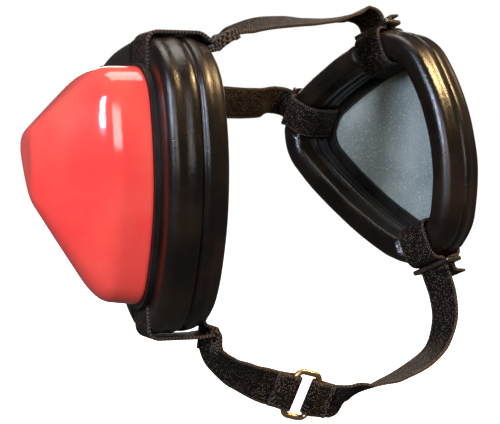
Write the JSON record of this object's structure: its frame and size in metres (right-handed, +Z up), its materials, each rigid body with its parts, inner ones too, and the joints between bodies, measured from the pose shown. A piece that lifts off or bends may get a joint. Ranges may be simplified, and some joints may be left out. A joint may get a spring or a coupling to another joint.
{
  "type": "earmuff hearing protector",
  "caption": "Strap-on ear protector for a dog: rounded triangular hard cups with soft sealing cushions, joined by adjustable webbing straps over the crown, nape and chin.",
  "frame": {"origin": "centre of the left cup's ear opening, in its seal plane", "axes": "+X from the left cup through the wearer's head to the right cup, +Y towards the nape, +Z up"},
  "size_m": [0.2462, 0.1652, 0.1858],
  "materials": {
    "shell": "glossy, coral red",
    "flange": "satin black",
    "cushion": "soft satin vinyl, black brown",
    "cushion_core": "open-cell foam",
    "liner": "speckled grey foam",
    "webbing": "woven nylon tape, black brown",
    "slide": "moulded, glossy black",
    "ring": "polished wire"
  },
  "bodies": {
    "harness": {"crown_strap": "webbing", "nape_strap": "webbing", "chin_strap_left": "webbing", "chin_strap_right": "webbing"},
    "left_cup": {"left_shell": "shell", "left_flange": "flange", "left_foam_liner": "liner", "left_cushion_cover": "cushion", "left_cushion_foam": "cushion_core", "left_crown_loop": "webbing", "left_nape_loop": "webbing", "left_chin_loop": "webbing"},
    "right_cup": {"right_shell": "shell", "right_flange": "flange", "right_foam_liner": "liner", "right_cushion_cover": "cushion", "right_cushion_foam": "cushion_core", "right_crown_loop": "webbing", "right_nape_loop": "webbing", "right_chin_loop": "webbing"},
    "ring": {"chin_ring": "ring"},
    "crown_buckle": {"crown_slide": "slide"},
    "nape_buckle": {"nape_slide": "slide"},
    "chin_buckle": {"chin_slide": "slide"}
  },
  "joints": [
    {"name": "left_cup_swivel", "type": "hinge", "parent": "harness", "child": "left_cup", "pos_m": [0.0041, -0.00858, -0.06034], "axis": [0, -0.0137, 0.9999], "range_deg": [-18, 18], "deforming": ["crown_strap", "nape_strap", "chin_strap_left"]},
    {"name": "right_cup_swivel", "type": "hinge", "parent": "harness", "child": "right_cup", "pos_m": [0.13347, 0.01555, -0.05171], "axis": [-0.082, 0.3386, 0.9373], "range_deg": [-18, 27], "deforming": ["chin_strap_right"]},
    {"name": "chin_ring_swivel", "type": "hinge", "parent": "harness", "child": "ring", "pos_m": [0.04284, -0.00518, -0.09251], "axis": [-0.3317, 0.1502, -0.9313], "range_deg": [-20, 20]},
    {"name": "crown_slide_travel", "type": "slide", "parent": "right_cup", "child": "crown_buckle", "axis": [-0.0941, 0.3723, 0.9233], "range_m": [0, 0.0025]},
    {"name": "nape_slide_travel", "type": "slide", "parent": "right_cup", "child": "nape_buckle", "axis": [-0.2826, 0.8651, 0.4144], "range_m": [0, 0.0025]},
    {"name": "chin_slide_travel", "type": "slide", "parent": "right_cup", "child": "chin_buckle", "axis": [0.1157, -0.4321, -0.8944], "range_m": [0, 0.0025]}
  ]
}
